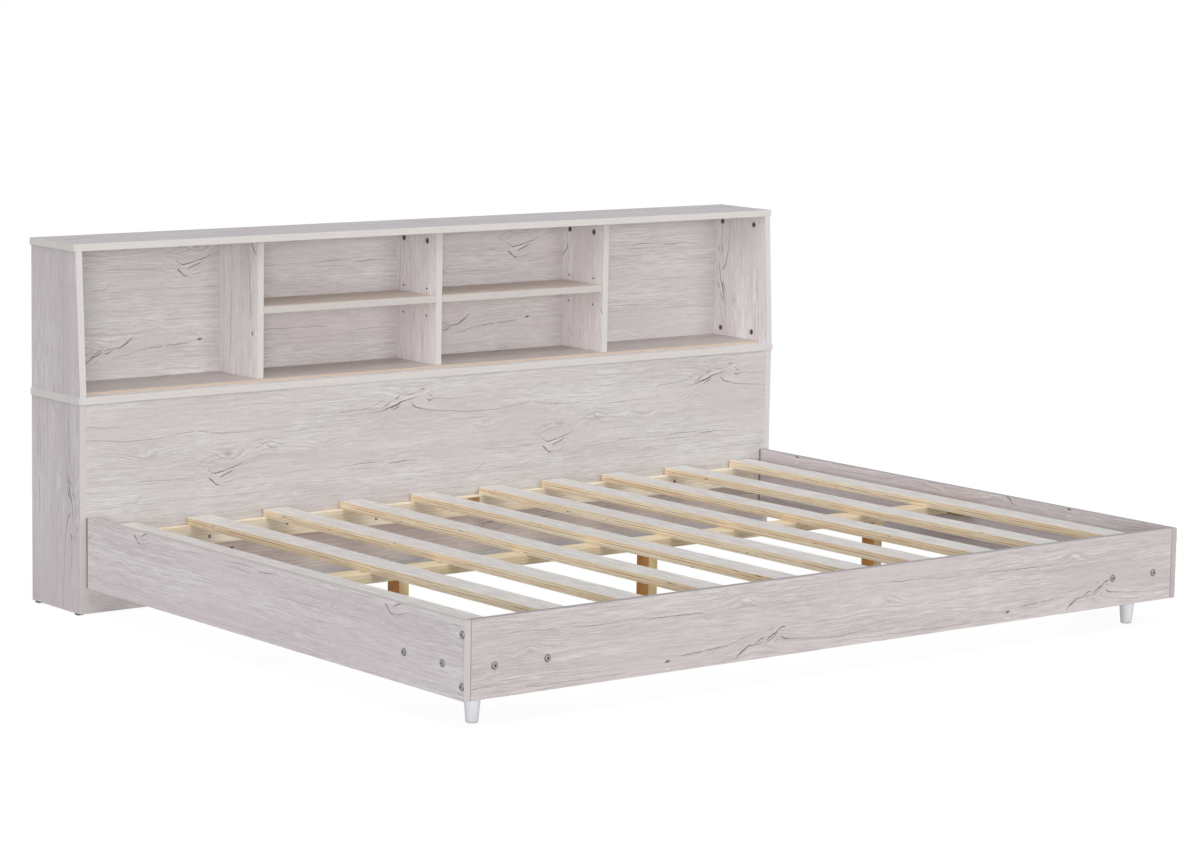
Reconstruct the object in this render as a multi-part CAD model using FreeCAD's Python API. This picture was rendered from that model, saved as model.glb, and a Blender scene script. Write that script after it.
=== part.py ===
import FreeCAD, Part
import os

Vector = FreeCAD.Vector

# A bookcase headboard bed. The bookcase stands along the long side of the bed. Millimetres, +X along
# the headboard, -Y towards the foot, +Z up. The origin is on the floor, under the middle of the whole.

# Boards
board = 16.0
back_thickness = 3.0
floor_panel_thickness = 5.0
fit_gap = 0.1

# Lower cabinet
cabinet_width = 2000.0
cabinet_depth = 210.0
lower_height = 466.0
stretcher_height = 90.0
bracket_leg = 30.0
bracket_width = 24.0
bracket_thickness = 2.0
bracket_end_inset = 30.0

# Boards that cap the cabinet and the bookcase
middle_side_overhang = 3.0
middle_front_overhang = 2.0
top_side_overhang = 4.0
top_front_setback = 16.0

# Bookcase
hutch_height = 320.0
divider_pitch = 500.0
divider_setback = 46.0
floor_panel_setback = 32.0

# Adjustable shelves and the pins that carry them
shelf_rise = 148.0
shelf_side_clearance = 1.0
shelf_back_clearance = 1.0
pin_diameter = 5.0
pin_reach = 7.0
pin_depth = 8.0
pin_pitch = 32.0
pin_front_inset = 40.0
pin_rear_inset = 26.0

# Cam locks of the bookcase
cam_diameter = 14.0
cam_height = 12.0
cam_recess = 0.5
cam_setback = 24.0
side_cam_front_inset = 60.0

# Bed box
bed_depth = 1410.0
rail_thickness = 16.0
rail_height = 158.0
rail_bottom = 62.0

# Bolts of the bed box, and the barrel nuts where the side rails meet the front rail
bolt_head_diameter = 14.0
bolt_head_height = 2.5
bolt_diameter = 6.0
bolt_length = 48.0
bolt_end_inset = 28.0
nut_diameter = 10.0
nut_length = 12.0
nut_cover = 2.0

# Corner boards that tie the rails and carry the legs
corner_board_reach = 240.0
corner_board_shoulder = 46.0
corner_board_thickness = 19.0
corner_bolt_near = 72.0
corner_bolt_far = 200.0

# Legs
leg_inset = 74.0
leg_top_diameter = 46.0
leg_foot_diameter = 25.0
leg_foot_chamfer = 2.0

# Slats and the ledgers that carry their ends
slat_count = 10
slat_width = 63.0
slat_thickness = 19.0
slat_end_play = 3.0
slat_rail_gap = 39.0
slat_drift = [5.0, 4.0, 7.0, 17.0, 19.0, 18.0, 6.0, -9.0, -10.0, 1.0]
ledger_thickness = 18.0
ledger_height = 45.0
ledger_bottom = 135.0
ledger_end_gap = 33.0
ledger_notch_centre = 62.0
ledger_notch_width = 36.0
ledger_notch_depth = 9.0
ledger_notch_land = 4.0

# Centre beam, its end cleats and its posts
beam_width = 54.0
beam_height = 21.0
cleat_thickness = 33.0
cleat_overhang = 57.0
beam_plate_length = 60.0
beam_plate_width = 40.0
beam_plate_thickness = 2.0
post_width = 25.0
post_depth = 42.0
post_left_inset = 295.0
post_right_inset = 221.0

# Square glides under everything that stands on the floor, apart from the legs
glide_size = 14.0
glide_height = 4.0
glide_end_inset = 18.0

# Places that follow from the sizes above
half_width = cabinet_width / 2
inner_half = half_width - board
rear_y = (cabinet_depth + bed_depth + bolt_head_height) / 2
cabinet_front = rear_y - cabinet_depth
panel_rear = rear_y - back_thickness
lower_bottom = glide_height
middle_bottom = lower_bottom + lower_height
middle_top = middle_bottom + board
floor_panel_top = middle_top + floor_panel_thickness
top_bottom = middle_top + hutch_height
top_top = top_bottom + board
top_front = cabinet_front + top_front_setback
divider_front = cabinet_front + divider_setback
pin_rows = [divider_front + pin_front_inset, panel_rear - pin_rear_inset]
divider_places = [-divider_pitch, 0.0, divider_pitch]
shelf_bottom = floor_panel_top + shelf_rise
rail_outer = inner_half
well_half = rail_outer - rail_thickness
rail_front = cabinet_front - bed_depth
well_front = rail_front + rail_thickness
rail_top = rail_bottom + rail_height
corner_board_bottom = ledger_bottom - corner_board_thickness
slat_bottom = ledger_bottom + ledger_height
slat_front = well_front + slat_end_play
slat_rear = cabinet_front - slat_end_play
ledger_half = well_half - ledger_end_gap
beam_middle = (well_front + cabinet_front) / 2
beam_front = beam_middle - beam_width / 2
beam_rear = beam_middle + beam_width / 2
beam_bottom = slat_bottom - beam_height
beam_half = well_half - cleat_thickness
post_left_x = post_left_inset - beam_half
post_right_x = beam_half - post_right_inset
post_places = [post_left_x, (post_left_x + post_right_x) / 2, post_right_x]
side_names = {-1: "left", 1: "right"}


def slab(x, y, z):
    """A rectangular board between the two values given for each axis."""
    return Part.makeBox(x[1] - x[0], y[1] - y[0], z[1] - z[0], Vector(x[0], y[0], z[0]))


def rod(diameter, start, along):
    """A round rod that begins at start and runs as far as the vector along."""
    return Part.makeCylinder(diameter / 2, along.Length, start, along)


def bore(diameter, start, along):
    """The hole for a rod, wider than it by the fit gap all round."""
    return rod(diameter + 2 * fit_gap, start, along)


def carve(solid, tools):
    """The one solid that is left when all the tools are cut from it."""
    if not tools:
        return solid
    return solid.cut(tools).Solids[0]


def prism(points, along):
    """A straight prism on a flat outline of points."""
    outline = Part.makePolygon(points + points[:1])
    return Part.Face(outline).extrude(along)


def save(name, shape):
    shape.exportStep("parts/" + name + ".step")


def save_group(name, solids):
    save(name, Part.makeCompound(solids))


class CamLock:
    """A cam let into a panel's face, a little below the surface, to draw in a board at the panel's end.
    seat is on the joint, in the middle of the panel; into points into the panel and face to the cam's side."""

    def __init__(self, seat, into, face):
        mouth = seat + into * cam_setback + face * (board / 2)
        self.cam = rod(cam_diameter, mouth - face * cam_recess, -face * cam_height)
        self.pocket = bore(cam_diameter, mouth, -face * (cam_recess + cam_height))


class CornerJoint:
    """A bolt through a side rail into the front rail's end, and the barrel nut across it.
    start is where the bolt's head seats; the nut goes in from the side of the mattress well."""

    def __init__(self, start, along):
        self.bolt = rod(bolt_head_diameter, start, -along * bolt_head_height)
        self.bolt = self.bolt.fuse(rod(bolt_diameter, start, along * bolt_length)).removeSplitter()
        self.bolt_hole = bore(bolt_diameter, start, along * (bolt_length + fit_gap))
        centre = start + along * (bolt_length + fit_gap + nut_diameter / 2)
        depth = rail_thickness - nut_cover
        mouth = centre + Vector(0, rail_thickness / 2, 0)
        self.nut = rod(nut_diameter, mouth - Vector(0, depth - nut_length, 0), Vector(0, -nut_length, 0))
        self.nut_pocket = bore(nut_diameter, mouth, Vector(0, -depth, 0))


# Fittings that several pieces share
def side_cams(side):
    """The cams of one bookcase side: two under the top board and two on the middle board."""
    x = side * (half_width - board / 2)
    face = Vector(-side, 0, 0)
    places = [cabinet_front + side_cam_front_inset, panel_rear - pin_rear_inset]
    upper = [CamLock(Vector(x, y, top_bottom), Vector(0, 0, -1), face) for y in places]
    lower = [CamLock(Vector(x, y, middle_top), Vector(0, 0, 1), face) for y in places]
    return upper + lower


def divider_cams(x):
    """The two cams under the top board in one divider, above the rows of pin holes. They are on its left
    face, apart from those of the left divider, which face its shelf."""
    down = Vector(0, 0, -1)
    face = Vector(1 if x < 0 else -1, 0, 0)
    return [CamLock(Vector(x, y, top_bottom), down, face) for y in pin_rows]


def corner_joints(side):
    """The two joints at a front corner, one above the other."""
    heights = [rail_bottom + bolt_end_inset, rail_top - bolt_end_inset]
    starts = [Vector(side * rail_outer, rail_front + rail_thickness / 2, z) for z in heights]
    return [CornerJoint(start, Vector(-side, 0, 0)) for start in starts]


def corner_board_bolts():
    """The flat heads of the bolts into the corner boards, two on each rail face beside a corner."""
    z = corner_board_bottom + corner_board_thickness / 2
    heads = []
    for side in side_names:
        for inset in (corner_bolt_near, corner_bolt_far):
            on_side = Vector(side * rail_outer, rail_front + inset, z)
            on_front = Vector(side * (rail_outer - inset), rail_front, z)
            heads.append(rod(bolt_head_diameter, on_side, Vector(side * bolt_head_height, 0, 0)))
            heads.append(rod(bolt_head_diameter, on_front, Vector(0, -bolt_head_height, 0)))
    return heads


cams_of_side = {side: side_cams(side) for side in side_names}
cams_of_divider = {x: divider_cams(x) for x in divider_places}
joints_of_side = {side: corner_joints(side) for side in side_names}


# Lower cabinet
def lower_side(side):
    x = sorted((side * inner_half, side * half_width))
    return slab(x, (cabinet_front, rear_y), (lower_bottom, middle_bottom))


def headboard_front_panel():
    """The panel that the bed box butts against, between the two sides."""
    y = (cabinet_front, cabinet_front + board)
    return slab((-inner_half, inner_half), y, (lower_bottom, middle_bottom))


def lower_partition(x):
    """An upright under a divider, from the front panel back to the stretchers."""
    y = (cabinet_front + board, rear_y - board)
    return slab((x - board / 2, x + board / 2), y, (lower_bottom, middle_bottom))


def rear_stretcher(bottom):
    return slab((-inner_half, inner_half), (rear_y - board, rear_y), (bottom, bottom + stretcher_height))


def corner_bracket(corner, first, second):
    """A steel angle in an inside corner, with one leg along each of the two directions."""
    up = Vector(0, 0, bracket_width)
    outline = [
        corner,
        corner + first * bracket_leg,
        corner + first * bracket_leg + second * bracket_thickness,
        corner + first * bracket_thickness + second * bracket_thickness,
        corner + first * bracket_thickness + second * bracket_leg,
        corner + second * bracket_leg,
    ]
    return prism(outline, up)


def cabinet_brackets():
    """Steel angles that hold the front panel and the stretchers to the sides, and the uprights between."""
    low = lower_bottom + bracket_end_inset
    high = middle_bottom - bracket_end_inset - bracket_width
    front = cabinet_front + board
    rear = rear_y - board
    brackets = []
    for z in (low, high):
        for side in side_names:
            corner = Vector(side * inner_half, front, z)
            brackets.append(corner_bracket(corner, Vector(-side, 0, 0), Vector(0, 1, 0)))
            corner = Vector(side * inner_half, rear, z)
            brackets.append(corner_bracket(corner, Vector(-side, 0, 0), Vector(0, -1, 0)))
        for x in divider_places:
            corner = Vector(x + board / 2, front, z)
            brackets.append(corner_bracket(corner, Vector(1, 0, 0), Vector(0, 1, 0)))
            corner = Vector(x + board / 2, rear, z)
            brackets.append(corner_bracket(corner, Vector(1, 0, 0), Vector(0, -1, 0)))
    return brackets


def middle_board():
    x = half_width + middle_side_overhang
    return slab((-x, x), (cabinet_front - middle_front_overhang, rear_y), (middle_bottom, middle_top))


# Bookcase
def hutch_floor_panel():
    """The thin floor that lies on the middle board, with its raw front edge showing."""
    y = (cabinet_front + floor_panel_setback, panel_rear)
    return slab((-inner_half, inner_half), y, (middle_top, floor_panel_top))


def hutch_side(side):
    """An upright whose front edge leans back from the middle board to the top board."""
    x = side * inner_half
    foot_front = cabinet_front - middle_front_overhang
    outline = [
        Vector(x, foot_front, middle_top),
        Vector(x, panel_rear, middle_top),
        Vector(x, panel_rear, top_bottom),
        Vector(x, top_front, top_bottom),
    ]
    panel = prism(outline, Vector(side * board, 0, 0))
    return carve(panel, [lock.pocket for lock in cams_of_side[side]])


def hutch_divider(x):
    """A divider with a ladder of pin holes towards each bay that has a shelf."""
    height = (floor_panel_top, top_bottom)
    panel = slab((x - board / 2, x + board / 2), (divider_front, panel_rear), height)
    cuts = [lock.pocket for lock in cams_of_divider[x]]
    for facing in (-1, 1):
        if abs(x + facing * divider_pitch / 2) > divider_pitch:
            continue
        for y in pin_rows:
            for step in (-1, 0, 1):
                z = shelf_bottom - pin_diameter / 2 + step * pin_pitch
                mouth = Vector(x + facing * board / 2, y, z)
                cuts.append(bore(pin_diameter, mouth, Vector(-facing * pin_depth, 0, 0)))
    return carve(panel, cuts)


def hutch_back(side):
    """One half of the thin back, which meets the other behind the middle divider."""
    x = sorted((0.0, side * half_width))
    return slab(x, (panel_rear, rear_y), (middle_top, top_bottom))


def top_board():
    x = half_width + top_side_overhang
    return slab((-x, x), (top_front, rear_y), (top_bottom, top_top))


def shelf(side):
    """An adjustable shelf in one of the two middle bays, resting on its four pins."""
    near = board / 2 + shelf_side_clearance
    far = divider_pitch - board / 2 - shelf_side_clearance
    x = sorted((side * near, side * far))
    y = (divider_front, panel_rear - shelf_back_clearance)
    return slab(x, y, (shelf_bottom, shelf_bottom + board))


def shelf_pins():
    """Four pins for each shelf, two in each of the faces beside it."""
    pins = []
    z = shelf_bottom - pin_diameter / 2
    for side in side_names:
        for wall, facing in ((board / 2, side), (divider_pitch - board / 2, -side)):
            for y in pin_rows:
                inside = Vector(side * wall - facing * (pin_depth - fit_gap), y, z)
                pins.append(rod(pin_diameter, inside, Vector(facing * (pin_depth + pin_reach), 0, 0)))
    return pins


# Bed box
def side_rail(side):
    """A side rail, which covers the front rail's end."""
    x = sorted((side * well_half, side * rail_outer))
    rail = slab(x, (rail_front, cabinet_front), (rail_bottom, rail_top))
    return carve(rail, [joint.bolt_hole for joint in joints_of_side[side]])


def front_rail():
    rail = slab((-well_half, well_half), (rail_front, well_front), (rail_bottom, rail_top))
    cuts = []
    for side in side_names:
        cuts += [joint.bolt_hole for joint in joints_of_side[side]]
        cuts += [joint.nut_pocket for joint in joints_of_side[side]]
    return carve(rail, cuts)


def corner_board(side):
    """A plywood gusset in the corner of the two rails, with its inner corner cut away."""
    corner = Vector(side * well_half, well_front, corner_board_bottom)
    along_front = Vector(-side, 0, 0)
    along_side = Vector(0, 1, 0)
    outline = [
        corner,
        corner + along_front * corner_board_reach,
        corner + along_front * corner_board_reach + along_side * corner_board_shoulder,
        corner + along_front * corner_board_shoulder + along_side * corner_board_reach,
        corner + along_side * corner_board_reach,
    ]
    return prism(outline, Vector(0, 0, corner_board_thickness))


def leg(side):
    """A turned leg under a corner board, which tapers to a foot with a broken edge."""
    axis = Vector(side * (rail_outer - leg_inset), rail_front + leg_inset, 0)
    up = Vector(0, 0, 1)
    cone = Part.makeCone(leg_foot_diameter / 2, leg_top_diameter / 2, corner_board_bottom, axis, up)
    foot = [edge for edge in cone.Edges if edge.BoundBox.ZMax < fit_gap]
    return cone.makeChamfer(leg_foot_chamfer, foot)


def foot_ledger():
    """The pine strip on the front rail that carries the slats' front ends."""
    y = (well_front, well_front + ledger_thickness)
    return slab((-ledger_half, ledger_half), y, (ledger_bottom, slat_bottom))


def head_ledger():
    """The strip on the headboard, with the shallow notch in its face right of the middle."""
    face = cabinet_front - ledger_thickness
    strip = slab((-ledger_half, ledger_half), (face, cabinet_front), (ledger_bottom, slat_bottom))
    x = (ledger_notch_centre - ledger_notch_width / 2, ledger_notch_centre + ledger_notch_width / 2)
    notch = slab(x, (face, face + ledger_notch_depth), (ledger_bottom, slat_bottom - ledger_notch_land))
    return carve(strip, [notch])


def slat(index):
    """A plywood slat that lies loose on the ledgers, a little off its even place."""
    first = -(well_half - slat_rail_gap - slat_width / 2)
    even = first - 2 * first * index / (slat_count - 1)
    x = even + slat_drift[index]
    z = (slat_bottom, slat_bottom + slat_thickness)
    return slab((x - slat_width / 2, x + slat_width / 2), (slat_front, slat_rear), z)


def centre_beam():
    return slab((-beam_half, beam_half), (beam_front, beam_rear), (beam_bottom, slat_bottom))


def beam_cleat(side):
    """A pine block on a side rail that the beam's end butts against."""
    x = sorted((side * beam_half, side * well_half))
    y = (beam_front - cleat_overhang, beam_rear + cleat_overhang)
    return slab(x, y, (beam_bottom, slat_bottom))


def beam_plates():
    """A flat steel plate under each end of the beam, across its joint with the cleat."""
    plates = []
    for side in side_names:
        middle = side * beam_half
        x = (middle - beam_plate_length / 2, middle + beam_plate_length / 2)
        y = (beam_middle - beam_plate_width / 2, beam_middle + beam_plate_width / 2)
        plates.append(slab(x, y, (beam_bottom - beam_plate_thickness, beam_bottom)))
    return plates


def post(x):
    """A post under the beam, flush with the beam's front."""
    y = (beam_front, beam_front + post_depth)
    return slab((x - post_width / 2, x + post_width / 2), y, (glide_height, beam_bottom))


def floor_glides():
    """The glides under the cabinet's sides and uprights and under the posts."""
    places = []
    for side in side_names:
        x = side * (half_width - board / 2)
        places += [(x, cabinet_front + glide_end_inset), (x, rear_y - glide_end_inset)]
    places += [(x, rear_y - board - glide_end_inset) for x in divider_places]
    places += [(x, beam_front + post_depth / 2) for x in post_places]
    reach = glide_size / 2
    return [slab((x - reach, x + reach), (y - reach, y + reach), (0, glide_height)) for x, y in places]


def save_lower_cabinet():
    for side, name in side_names.items():
        save("lower_side_" + name, lower_side(side))
    for x, name in zip(divider_places, ("left", "centre", "right")):
        save("lower_partition_" + name, lower_partition(x))
    save("headboard_front_panel", headboard_front_panel())
    save("rear_stretcher_lower", rear_stretcher(lower_bottom))
    save("rear_stretcher_upper", rear_stretcher(middle_bottom - stretcher_height))
    save("middle_board", middle_board())
    save_group("cabinet_brackets", cabinet_brackets())
    save_group("floor_glides", floor_glides())


def save_bookcase():
    save("hutch_floor_panel", hutch_floor_panel())
    save("top_board", top_board())
    for side, name in side_names.items():
        save("hutch_side_" + name, hutch_side(side))
        save("hutch_back_" + name, hutch_back(side))
        save("shelf_" + name, shelf(side))
    for x, name in zip(divider_places, ("left", "centre", "right")):
        save("hutch_divider_" + name, hutch_divider(x))
    locks = [lock for side in side_names for lock in cams_of_side[side]]
    locks += [lock for x in divider_places for lock in cams_of_divider[x]]
    save_group("cam_locks", [lock.cam for lock in locks])
    save_group("shelf_pins", shelf_pins())


def save_bed_box():
    for side, name in side_names.items():
        save("side_rail_" + name, side_rail(side))
        save("corner_board_" + name, corner_board(side))
        save("beam_cleat_" + name, beam_cleat(side))
    save_group("legs", [leg(side) for side in side_names])
    save("front_rail", front_rail())
    save("head_ledger", head_ledger())
    save("foot_ledger", foot_ledger())
    save("centre_beam", centre_beam())
    for index in range(slat_count):
        save("slat_%02d" % (index + 1), slat(index))
    for x, name in zip(post_places, ("left", "centre", "right")):
        save("post_" + name, post(x))


def save_hardware():
    joints = [joint for side in side_names for joint in joints_of_side[side]]
    save_group("corner_bolts", [joint.bolt for joint in joints])
    save_group("corner_board_bolts", corner_board_bolts())
    save_group("barrel_nuts", [joint.nut for joint in joints])
    save_group("beam_plates", beam_plates())


os.makedirs("parts", exist_ok=True)
save_lower_cabinet()
save_bookcase()
save_bed_box()
save_hardware()
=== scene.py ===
import math

import bmesh
import bpy
from mathutils import Matrix, Vector


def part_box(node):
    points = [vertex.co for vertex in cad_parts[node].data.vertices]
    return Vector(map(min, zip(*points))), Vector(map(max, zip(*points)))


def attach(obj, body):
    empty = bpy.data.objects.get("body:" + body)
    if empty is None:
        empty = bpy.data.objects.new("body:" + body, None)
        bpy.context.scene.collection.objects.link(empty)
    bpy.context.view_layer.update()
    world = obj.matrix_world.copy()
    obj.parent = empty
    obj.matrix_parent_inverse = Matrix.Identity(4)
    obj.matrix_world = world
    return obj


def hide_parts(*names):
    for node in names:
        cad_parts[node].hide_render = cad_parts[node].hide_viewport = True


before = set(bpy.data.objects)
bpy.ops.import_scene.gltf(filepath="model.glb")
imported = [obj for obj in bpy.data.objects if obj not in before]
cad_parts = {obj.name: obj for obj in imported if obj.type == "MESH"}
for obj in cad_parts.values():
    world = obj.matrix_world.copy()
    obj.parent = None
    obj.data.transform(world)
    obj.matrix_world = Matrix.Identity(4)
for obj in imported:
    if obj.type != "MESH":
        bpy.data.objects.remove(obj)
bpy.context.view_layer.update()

# Everything is in metres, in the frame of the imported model: +X along the headboard, +Z up, and the
# origin on the floor.
BODY = "bed"

# Camera
CAMERA_PLACE = (-5.0859, -6.3850, 1.5798)
CAMERA_AZIMUTH = math.radians(38.4122)
CAMERA_PITCH = math.radians(8.0328)
CAMERA_ROLL = math.radians(1.0011)
CAMERA_LENS_MM = 110.91
CAMERA_SENSOR_MM = 36.0

# Light: each lamp's name, azimuth, elevation and width in degrees, and strength
LAMPS = [
    ("key", 34.0, 3.0, 16.0, 1.10),
    ("side", 76.0, 8.0, 30.0, 0.50),
    ("fill", -10.0, 3.0, 24.0, 0.80),
    ("top", 20.0, 65.0, 50.0, 1.50),
]
WORLD_STRENGTH = 0.36
SEEN_STRENGTH = 1.0
FLOOR_HALF = 30.0
FLOOR_GREY = 0.60
FLOOR_GLOW = 1.10
FLOOR_WHITE_SHARE = 0.86

# Slightly broken edges
BOARD_BEVEL = 0.0006
TIMBER_BEVEL = 0.0012
PIN_BEVEL = 0.0004
PLATE_BEVEL = 0.0003
GLIDE_BEVEL = 0.0006
BEVEL_ANGLE = math.radians(40)
BEVEL_STEPS = 2
WELD_REACH = 0.00001

# Socket-headed bolts: profiles are (radius, height) from the face that the head lies on
HEAD_RADIUS = 0.007
HEAD_HEIGHT = 0.0025
HEAD_RIM = 0.0006
HEAD_STEPS = 36
SOCKET_RADIUS = 0.0024
SOCKET_DEPTH = 0.0017
SOCKET_SIDES = 6
# Painted shade in black steel: a thin ring round each head's seat, and a disc at the floor of its
# socket
SEAT_SHADOW_WIDTH = 0.0007
SHADE_DISC_HEIGHT = 0.0004
HEAD_PROFILE = [
    (HEAD_RADIUS - 0.0001, 0.0),
    (HEAD_RADIUS, HEAD_HEIGHT - 3 * HEAD_RIM),
    (HEAD_RADIUS - 0.3 * HEAD_RIM, HEAD_HEIGHT - 1.2 * HEAD_RIM),
    (HEAD_RADIUS - HEAD_RIM, HEAD_HEIGHT - 0.3 * HEAD_RIM),
    (HEAD_RADIUS - 2 * HEAD_RIM, HEAD_HEIGHT),
    (SOCKET_RADIUS + HEAD_RIM, HEAD_HEIGHT),
]
SEAT_SHADOW_PROFILE = [(HEAD_RADIUS + SEAT_SHADOW_WIDTH, 0.0), (HEAD_RADIUS + SEAT_SHADOW_WIDTH, SHADE_DISC_HEIGHT)]
SOCKET_SHADE_PROFILE = [
    (SOCKET_RADIUS * 0.90, HEAD_HEIGHT - SOCKET_DEPTH),
    (SOCKET_RADIUS * 0.85, HEAD_HEIGHT - SOCKET_DEPTH + SHADE_DISC_HEIGHT),
]

# Cams: the rim from outside inwards, as how far in and how far below the top
CAM_DISH = 0.0008
CAM_RIM = [(0.0, 0.0003), (0.0004, 0.0), (0.0014, 0.0), (0.0018, CAM_DISH)]
CAM_HUB = 0.0005
CAM_SLOT_RELIEF = 0.0004
CAM_SLOT_WIDTH = 0.0016
CAM_SLOT_LENGTH = 0.0080
CAM_TURN_X = -0.25

# Ledger screws: (x, height above the ledger's middle line)
LEDGER_SCREWS = [
    (-0.900, 0.006),
    (-0.676, -0.006),
    (-0.467, 0.006),
    (-0.220, -0.006),
    (0.001, -0.006),
    (0.230, 0.006),
    (0.462, -0.010),
    (0.678, 0.006),
    (0.900, -0.006),
]
SCREW_PROFILE = [
    (0.0040, -0.0006),
    (0.0040, 0.0001),
    (0.0036, 0.0003),
    (0.0016, 0.0003),
    (0.0012, -0.0004),
    (0.0002, -0.0005),
]
SCREW_STEPS = 20


# ---------------------------------------------------------------- colours
def srgb(red, green, blue):
    """A colour as it looks on screen, 0 to 255, in the linear values that shaders take."""
    return tuple(((c / 255 + 0.055) / 1.055) ** 2.4 for c in (red, green, blue)) + (1.0,)


def scaled(colour, factor):
    return tuple(c * factor for c in colour[:3]) + (1.0,)


WHITE = (1.0, 1.0, 1.0, 1.0)
FILM_DEEP, FILM_PLAIN, FILM_PALE = srgb(187, 180, 180), srgb(202, 198, 197), srgb(214, 212, 210)
FILM_BLUSH, FILM_CRACK, FILM_GLEAM = srgb(200, 192, 193), srgb(104, 92, 88), srgb(230, 227, 224)
BAND_DEEP, BAND_PALE = srgb(203, 198, 195), srgb(216, 212, 209)
# Painted shade: dark lines where boards butt, and the shade inside the dividers' holes
JOINT_SHADOW, HOLE_SHADE = srgb(120, 108, 104), srgb(46, 36, 28)
PINE_PALE, PINE_DEEP = srgb(250, 240, 222), srgb(233, 212, 180)
BEAM_PALE, BEAM_DEEP = srgb(241, 228, 202), srgb(217, 195, 158)
CLEAT_PALE, CLEAT_DEEP = srgb(196, 170, 122), srgb(142, 116, 76)
POST_PALE, POST_DEEP, POST_SIDE_SHADE = srgb(236, 216, 174), srgb(206, 172, 122), srgb(240, 196, 152)
KNOT, NOTCH_SHADE = srgb(116, 76, 44), srgb(212, 166, 116)
FACE_DEEP, FACE_PALE, FACE_STREAK = srgb(206, 201, 198), srgb(228, 225, 222), srgb(188, 178, 170)
PLY_PALE, PLY_DEEP = srgb(251, 238, 214), srgb(234, 208, 172)
PLY_GLUE, PLY_VOID = srgb(150, 102, 66), srgb(96, 60, 38)
LEG_DEEP, LEG_PALE, LEG_FOOT = srgb(240, 239, 244), srgb(252, 251, 255), srgb(170, 160, 152)
ZINC_STEEL, CAM_ZINC = srgb(158, 157, 155), srgb(158, 140, 118)
BLACK_STEEL_AND_SHADE, SCREW_STEEL, GLIDE = srgb(44, 42, 42), srgb(92, 80, 66), srgb(58, 56, 56)
RAIL_TOP = srgb(163, 159, 161)

# The print isn't the same shade on every board. Some of these shades are also painted light: they
# lift boards for the dimmer light inside the bookcase and on faces that look left, and warm the
# shelf tops and the front panel's foot.
# Painted warm light, as if bounced from the pine, on the foot of the front panel
FOOT_BOUNCE_LIGHT = (1.28, 1.16, 1.08, 1.0)
# Painted light: the backs, the bookcase's inner faces and the shelf tops are lifted for the dimmer
# light inside, and the shelf tops are warmed like the shade under the top board
BACK_LIGHT_LIFT = (1.13, 1.125, 1.13, 1.0)
INNER_LIGHT_LIFT = (1.45, 1.45, 1.47, 1.0)
SHELF_LIGHT_AND_SHADE = (1.26, 1.15, 1.02, 1.0)
FLOOR_TINT = (0.94, 0.90, 0.865, 1.0)
# Painted light: the ledge is lifted to make up for the light it lacks
LEDGE_LIGHT_LIFT = (1.22, 1.22, 1.24, 1.0)
TOP_TINT = (0.85, 0.83, 0.87, 1.0)
# Painted light: a faint lift and violet cast on the side boards, for the light on faces that look
# left
LEFT_SIDE_LIGHT_TINGE = (1.01, 0.98, 1.03, 1.0)
RAIL_TINT = (0.975, 0.935, 0.935, 1.0)
# Painted light: the side rails' faces that look along X are lifted for the dimmer light on them
SIDE_RAIL_LIGHT_LIFT = (1.18, 1.15, 1.18, 1.0)

# Edges with colours that differ from the plain banding: the axis that they face along (1 to the
# front, 2 up) and the colour
FRONT_EDGES = {
    "shelf_left": {1: srgb(203, 197, 194)},
    "shelf_right": {1: srgb(203, 197, 194)},
    "hutch_floor_panel": {1: srgb(206, 186, 166)},
    "lower_side_left": {1: srgb(207, 201, 199)},
}
LEFT_ENDS = {1: srgb(204, 197, 196), 2: srgb(198, 191, 191)}
RIGHT_ENDS = {1: srgb(190, 179, 179), 2: RAIL_TOP}

# Lying boards: where X = 0 and Y = 0 fall on the film, and the board's print tone, with painted
# light on some
LYING = [
    ("top_board", (0.30, -0.450), TOP_TINT),
    ("middle_board", (-0.15, -0.380), LEDGE_LIGHT_LIFT),
    ("shelf_left", (0.10, -0.520), SHELF_LIGHT_AND_SHADE),
    ("shelf_right", (0.40, -0.560), SHELF_LIGHT_AND_SHADE),
    ("hutch_floor_panel", (0.05, -0.500), FLOOR_TINT),
]
# Upright boards: the sense of the film, where Z = 0 and Y = 0 fall on it, and the board's print
# tone, with painted light on some
UPRIGHTS = [
    ("lower_side_left", -1, (1.060, 1.055), LEFT_SIDE_LIGHT_TINGE),
    ("lower_side_right", -1, (0.700, 0.900), LEFT_SIDE_LIGHT_TINGE),
    ("lower_partition_left", -1, (0.20, 0.860), WHITE),
    ("lower_partition_centre", -1, (0.45, 0.990), WHITE),
    ("lower_partition_right", -1, (0.62, 0.910), WHITE),
    ("hutch_side_left", 1, (-0.644, -0.436), LEFT_SIDE_LIGHT_TINGE),
    ("hutch_side_right", 1, (-0.768, -0.366), INNER_LIGHT_LIFT),
    ("hutch_divider_left", -1, (0.932, 0.786), INNER_LIGHT_LIFT),
    ("hutch_divider_centre", -1, (0.372, 0.816), INNER_LIGHT_LIFT),
    ("hutch_divider_right", 1, (-0.438, -0.526), INNER_LIGHT_LIFT),
]
# Numbers that set one board's fine grain apart from another's. A list's boards count on from these.
LYING_SHEET, UPRIGHT_SHEET = 1.0, 10.0
FRONT_RAIL_SHEET, SIDE_RAIL_SHEET, STRETCHER_SHEET = 2.2, 3.3, 4.0
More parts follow.
